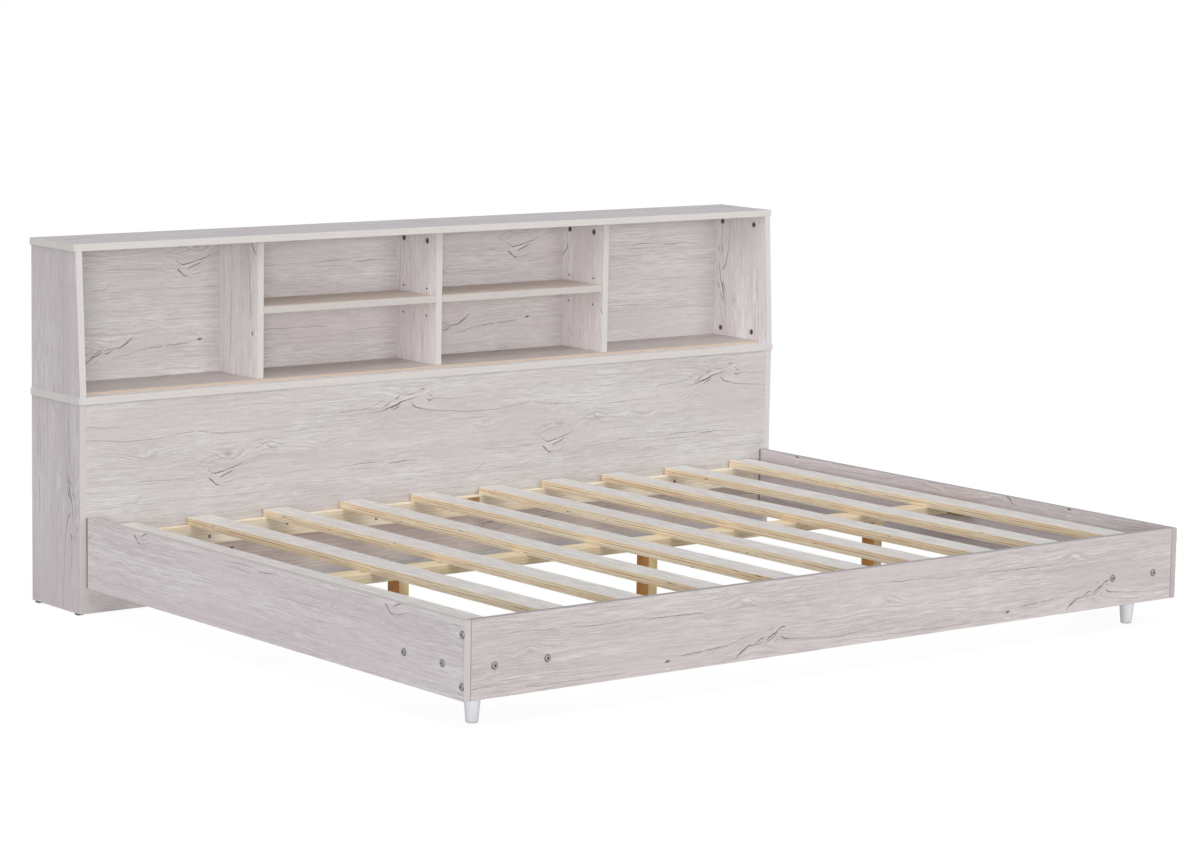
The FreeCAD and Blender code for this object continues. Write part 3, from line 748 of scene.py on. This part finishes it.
def plywood(name):
    """Boards with their grain along Y: a pale greyish face, and edges that show a few plies, their
    dark glue lines and some voids."""
    paint = Paint.new(name)
    aside, along, height = paint.place()
    face_spot, edge_spot = (along, aside), (along, aside, height)
    mottle = paint.noise(face_spot, PLY_MOTTLE, 4.0, 0.6)
    streak = paint.noise(face_spot, PLY_STREAK, 3.0, 0.6)
    face = paint.mix(paint.fade(mottle, 0.3, 0.7), FACE_DEEP, FACE_PALE)
    face = paint.mix(paint.fade(streak, 0.50, 0.75, 0.0, 0.35), face, FACE_STREAK)

    low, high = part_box("slat_01")[0][2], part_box("slat_01")[1][2]
    wave = paint.noise(face_spot, PLY_BEND, 3.0)
    level = paint.plus_times(-low / (high - low), height, 1 / (high - low))
    level = paint.plus_times(paint.sum(level, -PLY_WAVE / 2), wave, PLY_WAVE)
    ply = paint.noise((along, aside, level), PLY_TONE, 1.0)
    fibre = paint.noise(edge_spot, PLY_FIBRE, 4.0, 0.6)
    tone = paint.plus_times(paint.between(ply, -0.7, 0.5), fibre, 0.8)
    edge = paint.mix(paint.fade(tone, 0.0, 0.6), PLY_PALE, PLY_DEEP)
    for middle, strength in GLUE_LINES:
        line = paint.fade(paint.away(level, middle), 0.01, 0.050, strength, 0.0)
        come_and_go = paint.noise(face_spot, PLY_BREAKS, 3.0, last=10 * middle)
        line = paint.times(line, paint.fade(come_and_go, 0.35, 0.60, 0.15, 1.0))
        edge = paint.mix(line, edge, PLY_GLUE)
    voids = paint.noise(edge_spot, PLY_VOIDS)
    edge = paint.mix(paint.fade(voids, 0.69, 0.75, 0.0, 0.8), edge, PLY_VOID)
    paint.bump(paint.plus_times(streak, fibre, 0.6), 0.15, 0.0006)
    colour = paint.mix(paint.facing(2), edge, face)
    return paint.finish(colour, paint.between(mottle, 0.55, 0.70), Specular_IOR_Level=WOOD_SHINE)


def leg_paint():
    """Whitewashed beech: the grain shows faintly through, and it is darker at the foot."""
    paint = Paint.new("leg_whitewash")
    place = paint.place()
    streak = paint.noise(place, LEG_STREAK, 4.0, 0.6)
    colour = paint.mix(paint.fade(streak, 0.3, 0.7), LEG_DEEP, LEG_PALE)
    colour = paint.mix(paint.fade(place[2], 0.001, 0.006, 0.35, 0.0), colour, LEG_FOOT)
    paint.bump(streak, 0.1, 0.0005)
    return paint.finish(colour, paint.between(streak, 0.38, 0.53), Specular_IOR_Level=PAINT_SHINE)


def metal(name, colour, roughness, metallic=1.0):
    """Plated or painted steel with faint tool marks and worn tone."""
    paint = Paint.new(name)
    mark = paint.noise(paint.place(), TOOL_MARKS, 3.0, 0.6)
    paint.bump(mark, 0.06, 0.0003)
    tone = paint.mix(paint.fade(mark, 0.35, 0.7), colour, scaled(colour, 0.72))
    return paint.finish(tone, paint.between(mark, roughness, roughness + 0.2), Metallic=metallic)


def plastic(name, colour):
    paint = Paint.new(name)
    grain = paint.noise(paint.place(), PLASTIC_GRAIN)
    lighter = tuple(c * 1.25 + 0.01 for c in colour[:3]) + (1.0,)
    paint.bump(grain, 0.1, 0.0003)
    return paint.finish(paint.mix(grain, colour, lighter), 0.55)


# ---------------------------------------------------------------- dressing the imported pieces
def dress(node, material, bevel):
    """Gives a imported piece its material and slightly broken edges."""
    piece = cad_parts[node]
    piece.data.materials.clear()
    piece.data.materials.append(material)
    weld = piece.modifiers.new("weld", "WELD")
    weld.merge_threshold = WELD_REACH
    edges = piece.modifiers.new("edges", "BEVEL")
    edges.width = bevel
    edges.segments = BEVEL_STEPS
    edges.limit_method = "ANGLE"
    edges.angle_limit = BEVEL_ANGLE
    edges.harden_normals = True


def front_panel():
    """The panel under the bookcase, with painted warm light, lighter and warmer, on the part of its
    front that shows below the slats."""
    paint = Paint.on(laminate("oak_front_panel", Grain((0, 1), (2, 1), 1)))
    _, depth, height = paint.place()
    low, high = (corner[2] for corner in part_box("head_ledger"))
    face, rear = (corner[1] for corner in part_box("headboard_front_panel"))
    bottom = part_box("front_rail")[0][2]
    share = paint.times(
        paint.fade(height, low, high, 1.0, 0.0), paint.fade(height, bottom - FOOT_FADE, bottom)
    )
    share = paint.times(share, paint.fade(depth, face, rear, 1.0, 0.0))
    return paint.paint_over(share, FOOT_BOUNCE_LIGHT, "MULTIPLY")


def dress_cabinet():
    dress("headboard_front_panel", front_panel(), BOARD_BEVEL)
    for node, start in STRETCHERS:
        film = laminate("oak_" + node, Grain((0, 1), (2, 1), 1, start), STRETCHER_SHEET)
        dress(node, film, BOARD_BEVEL)
    back = laminate("oak_back", Grain((0, 1), (2, 1), 1, BACK_START), 0.0, BACK_LIGHT_LIFT)
    dress("hutch_back_left", back, BOARD_BEVEL)
    dress("hutch_back_right", back, BOARD_BEVEL)
    for index, (node, start, tone_and_light) in enumerate(LYING):
        grain = Grain((0, 1), (1, 1), 2, start)
        film = laminate("oak_" + node, grain, LYING_SHEET + index, tone_and_light, FRONT_EDGES.get(node))
        dress(node, film, BOARD_BEVEL)
    for index, (node, sense, start, tone_and_light) in enumerate(UPRIGHTS):
        grain = Grain((2, sense), (1, sense), 0, start)
        bored = node if node.startswith("hutch_divider") else None
        edges = FRONT_EDGES.get(node)
        film = laminate("oak_" + node, grain, UPRIGHT_SHEET + index, tone_and_light, edges, bored=bored)
        dress(node, film, BOARD_BEVEL)


def dress_rails():
    grain = Grain((0, -1), (2, -1), 1, FRONT_RAIL_START)
    rail = laminate("oak_front_rail", grain, FRONT_RAIL_SHEET, RAIL_TINT, {2: RAIL_TOP})
    dress("front_rail", rail, BOARD_BEVEL)
    for name, grain, edges, way in (
        ("side_rail_left", Grain((1, -1), (2, 1), 0, LEFT_RAIL_START), LEFT_ENDS, 1),
        ("side_rail_right", Grain((1, -1), (2, -1), 0, RIGHT_RAIL_START), RIGHT_ENDS, -1),
    ):
        low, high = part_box(name)
        inner = high[0] if way > 0 else low[0]
        joint_shadows = [
            (0, 1, *(high[1] - gap for gap in PANEL_JOINT_SHADOW)),
            (1, 0, *(inner - way * gap for gap in RAIL_JOINT_SHADOW)),
        ]
        film = laminate("oak_" + name, grain, SIDE_RAIL_SHEET, SIDE_RAIL_LIGHT_LIFT, edges, joint_shadows)
        dress(name, film, BOARD_BEVEL)


def dress_timber():
    cleat = pine("pine_cleat", 1, CLEAT_PALE, CLEAT_DEEP, 0.8)
    post = post_wood()
    slat, corner = plywood("plywood_slat"), plywood("plywood_corner")
    dress("head_ledger", head_strip(), TIMBER_BEVEL)
    dress("foot_ledger", pine("pine_foot_ledger", 0, PINE_PALE, PINE_DEEP), TIMBER_BEVEL)
    dress("centre_beam", pine("pine_beam", 0, BEAM_PALE, BEAM_DEEP, 0.8), TIMBER_BEVEL)
    for side in ("left", "right"):
        dress("beam_cleat_" + side, cleat, TIMBER_BEVEL)
        dress("corner_board_" + side, corner, TIMBER_BEVEL)
    for place in ("left", "centre", "right"):
        dress("post_" + place, post, TIMBER_BEVEL)
    for number in range(1, SLATS + 1):
        dress("slat_%02d" % number, slat, TIMBER_BEVEL)
    dress("legs", leg_paint(), BOARD_BEVEL)


# ---------------------------------------------------------------- hardware
def placed(name, shape, material):
    """A new object from a bmesh, which is used up."""
    mesh = bpy.data.meshes.new(name)
    shape.to_mesh(mesh)
    shape.free()
    mesh.materials.append(material)
    piece = bpy.data.objects.new(name, mesh)
    bpy.context.scene.collection.objects.link(piece)
    return piece


def fitting(name, shape, material):
    """Small hardware that rides on the bed."""
    piece = placed(name, shape, material)
    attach(piece, BODY)
    return piece


def ring(shape, radius, height, place, outward, steps, sides=0):
    """Vertices round a place, height along outward, on a circle or on a polygon of so many sides."""
    turn = Vector((0, 0, 1)).rotation_difference(Vector(outward)).to_matrix()
    found = []
    for step in range(steps):
        angle = math.tau * step / steps
        reach = radius
        if sides:
            half = math.pi / sides
            reach = radius * math.cos(half) / math.cos(angle % (2 * half) - half)
        local = Vector((reach * math.cos(angle), reach * math.sin(angle), height))
        found.append(shape.verts.new(turn @ local + Vector(place)))
    return found


def skin(shape, rings, smooth):
    """Joins rings of vertices into a closed solid."""
    steps = len(rings[0])
    for lower, upper in zip(rings, rings[1:]):
        for step in range(steps):
            after = (step + 1) % steps
            face = shape.faces.new((lower[step], lower[after], upper[after], upper[step]))
            face.smooth = smooth
    shape.faces.new(rings[-1])
    shape.faces.new(list(reversed(rings[0])))


def lathe(shape, profile, place, outward, steps=LATHE_STEPS):
    """A turned solid: profile is a list of (radius, height)."""
    skin(shape, [ring(shape, *spot, place, outward, steps) for spot in profile], True)


def socket_head(shape, place, outward):
    """A low round head with a hexagonal socket."""
    rings = [ring(shape, *spot, place, outward, HEAD_STEPS) for spot in HEAD_PROFILE]
    for height in (HEAD_HEIGHT, HEAD_HEIGHT - SOCKET_DEPTH):
        rings.append(ring(shape, SOCKET_RADIUS, height, place, outward, HEAD_STEPS, SOCKET_SIDES))
    skin(shape, rings, False)


def loose_boxes(node):
    """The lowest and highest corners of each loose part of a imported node."""
    shape = bmesh.new()
    shape.from_mesh(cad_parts[node].data)
    bmesh.ops.remove_doubles(shape, verts=shape.verts, dist=WELD_REACH)
    left = set(shape.verts)
    found = []
    while left:
        group = [left.pop()]
        for vertex in group:
            for edge in vertex.link_edges:
                other = edge.other_vert(vertex)
                if other in left:
                    left.remove(other)
                    group.append(other)
        low = Vector([min(v.co[axis] for v in group) for axis in range(3)])
        high = Vector([max(v.co[axis] for v in group) for axis in range(3)])
        found.append((low, high))
    shape.free()
    return sorted(found, key=lambda pair: tuple(pair[0]))


def bolt_heads(steel, black_and_shade):
    """Socket heads in place of the plain ones at the corners and beside them, each with painted
    shade:
    a dark ring round its seat and a dark disc at the floor of its socket."""
    heads, head_shades = bmesh.new(), bmesh.new()
    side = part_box("side_rail_right")[1][0]
    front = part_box("front_rail")[0][1]
    for node in ("corner_bolts", "corner_board_bolts"):
        for low, high in loose_boxes(node):
            middle = (low + high) / 2
            place, outward = (middle[0], front, middle[2]), (0, -1, 0)
            if low[1] > front - HEAD_HEIGHT / 2:
                way = math.copysign(1, middle[0])
                place, outward = (way * side, middle[1], middle[2]), (way, 0, 0)
            socket_head(heads, place, outward)
            lathe(head_shades, SEAT_SHADOW_PROFILE, place, outward)
            lathe(head_shades, SOCKET_SHADE_PROFILE, place, outward)
    replaced = fitting("bolt_heads", heads, steel)
    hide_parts("corner_bolts", "corner_board_bolts")
    fitting("bolt_head_shades", head_shades, black_and_shade)


def cam_way(middle):
    """The sense along X that a cam faces: right on the two left uprights, left on the rest."""
    return 1 if middle[0] < CAM_TURN_X else -1


def cam_faces(material):
    """Cams with a raised rim and a dished face, in their pockets."""
    shape = bmesh.new()
    for low, high in loose_boxes("cam_locks"):
        middle = (low + high) / 2
        radius = (high[2] - low[2]) / 2
        depth = high[0] - low[0]
        way = cam_way(middle)
        profile = [(radius, 0.0)]
        profile += [(radius - inset, depth - drop) for inset, drop in CAM_RIM]
        profile += [(CAM_HUB, depth - CAM_DISH)]
        lathe(shape, profile, (middle[0] - way * depth / 2, middle[1], middle[2]), (way, 0, 0))
    cams = fitting("cam_faces", shape, material)
    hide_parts("cam_locks")


def cam_slots(material):
    """The dark cross in each cam's face, painted shade in its slot."""
    shape = bmesh.new()
    for low, high in loose_boxes("cam_locks"):
        middle = (low + high) / 2
        face = middle[0] + cam_way(middle) * ((high[0] - low[0]) / 2 - CAM_DISH)
        for long_axis in (1, 2):
            size = [CAM_SLOT_RELIEF, CAM_SLOT_WIDTH, CAM_SLOT_WIDTH]
            size[long_axis] = CAM_SLOT_LENGTH
            for vertex in bmesh.ops.create_cube(shape, size=1.0)["verts"]:
                vertex.co = Vector([vertex.co[axis] * size[axis] for axis in range(3)])
                vertex.co += Vector((face, middle[1], middle[2]))
    fitting("cam_slots", shape, material)


def ledger_screws(material):
    """Countersunk screws in the ledgers' faces, high and low in turn."""
    shape = bmesh.new()
    for node, way in (("head_ledger", -1), ("foot_ledger", 1)):
        low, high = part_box(node)
        face = low[1] if way < 0 else high[1]
        for x, lift in LEDGER_SCREWS:
            place = (x, face, (low[2] + high[2]) / 2 + lift)
            lathe(shape, SCREW_PROFILE, place, (0, way, 0), SCREW_STEPS)
    fitting("ledger_screws", shape, material)


def dress_hardware():
    steel = metal("zinc_steel", ZINC_STEEL, 0.30)
    # Black steel for the plates and brackets, also used as painted shade on bolt heads and in cam
    # slots
    black_and_shade = metal("black_steel_and_shade", BLACK_STEEL_AND_SHADE, 0.45, 0.3)
    bolt_heads(steel, black_and_shade)
    cam_faces(metal("cam_zinc", CAM_ZINC, 0.38))
    cam_slots(black_and_shade)
    ledger_screws(metal("screw_steel", SCREW_STEEL, 0.40))
    dress("shelf_pins", steel, PIN_BEVEL)
    dress("barrel_nuts", steel, PIN_BEVEL)
    dress("beam_plates", black_and_shade, PLATE_BEVEL)
    dress("cabinet_brackets", black_and_shade, PLATE_BEVEL)
    dress("floor_glides", plastic("glide_plastic", GLIDE), GLIDE_BEVEL)


# ---------------------------------------------------------------- studio
def white_rays(tree, share):
    """share for rays from the camera, in gloss and through glass, and 0 for all others."""
    path = tree.nodes.new("ShaderNodeLightPath")
    total = path.outputs["Is Camera Ray"]
    for name in ("Is Glossy Ray", "Is Transmission Ray"):
        joined = tree.nodes.new("ShaderNodeMath")
        joined.operation = "MAXIMUM"
        tree.links.new(total, joined.inputs[0])
        tree.links.new(path.outputs[name], joined.inputs[1])
        total = joined.outputs[0]
    part = tree.nodes.new("ShaderNodeMath")
    part.operation = "MULTIPLY"
    tree.links.new(total, part.inputs[0])
    part.inputs[1].default_value = share
    return part.outputs[0]


def split_rays(tree, share, plain, white, end):
    """White, in the given share, to rays that show the background, and plain to all others."""
    mixer = tree.nodes.new("ShaderNodeMixShader")
    tree.links.new(white_rays(tree, share), mixer.inputs[0])
    tree.links.new(plain.outputs[0], mixer.inputs[1])
    tree.links.new(white.outputs[0], mixer.inputs[2])
    tree.links.new(mixer.outputs[0], tree.nodes[end].inputs["Surface"])


def backdrop():
    """A floor that shows to the camera, and in gloss, as nearly white, with a light shadow."""
    material = bpy.data.materials.new("studio_floor")
    material.use_nodes = True
    tree = material.node_tree
    shader = tree.nodes["Principled BSDF"]
    shader.inputs["Base Color"].default_value = (FLOOR_GREY, FLOOR_GREY, FLOOR_GREY, 1.0)
    shader.inputs["Roughness"].default_value = 0.9
    shader.inputs["Specular IOR Level"].default_value = 0.1
    glow = tree.nodes.new("ShaderNodeEmission")
    glow.inputs["Strength"].default_value = FLOOR_GLOW
    split_rays(tree, FLOOR_WHITE_SHARE, shader, glow, "Material Output")
    shape = bmesh.new()
    bmesh.ops.create_grid(shape, x_segments=1, y_segments=1, size=FLOOR_HALF)
    placed("studio_floor", shape, material)


def world_light():
    world = bpy.data.worlds.new("studio")
    bpy.context.scene.world = world
    world.use_nodes = True
    tree = world.node_tree
    light, seen = tree.nodes["Background"], tree.nodes.new("ShaderNodeBackground")
    for shader, strength in ((light, WORLD_STRENGTH), (seen, SEEN_STRENGTH)):
        shader.inputs["Color"].default_value = WHITE
        shader.inputs["Strength"].default_value = strength
    split_rays(tree, 1.0, light, seen, "World Output")


def far_lamp(name, azimuth, elevation, width, strength):
    """A wide, distant lamp that shines along an azimuth, like the camera's, and slopes down by an
    elevation."""
    light = bpy.data.lights.new(name, "SUN")
    light.energy = strength
    light.angle = math.radians(width)
    lamp = bpy.data.objects.new(name, light)
    across, down = math.radians(azimuth), math.radians(elevation)
    level = math.cos(down)
    way = Vector((math.sin(across) * level, math.cos(across) * level, -math.sin(down)))
    lamp.rotation_euler = way.to_track_quat("-Z", "Y").to_euler()
    bpy.context.scene.collection.objects.link(lamp)


def camera():
    forward = Vector((
        math.sin(CAMERA_AZIMUTH) * math.cos(CAMERA_PITCH),
        math.cos(CAMERA_AZIMUTH) * math.cos(CAMERA_PITCH),
        -math.sin(CAMERA_PITCH),
    ))
    level = Vector((math.cos(CAMERA_AZIMUTH), -math.sin(CAMERA_AZIMUTH), 0.0))
    above = level.cross(forward)
    right = level * math.cos(CAMERA_ROLL) + above * math.sin(CAMERA_ROLL)
    up = above * math.cos(CAMERA_ROLL) - level * math.sin(CAMERA_ROLL)
    lens = bpy.data.cameras.new("camera")
    lens.lens = CAMERA_LENS_MM
    lens.sensor_width = CAMERA_SENSOR_MM
    lens.sensor_fit = "HORIZONTAL"
    eye = bpy.data.objects.new("camera", lens)
    turn = Matrix((right, up, -forward)).transposed().to_4x4()
    eye.matrix_world = Matrix.Translation(CAMERA_PLACE) @ turn
    bpy.context.scene.collection.objects.link(eye)
    bpy.context.scene.camera = eye


dress_cabinet()
dress_rails()
dress_timber()
dress_hardware()
backdrop()
world_light()
for lamp in LAMPS:
    far_lamp(*lamp)
camera()
bpy.context.scene.view_settings.view_transform = "Standard"
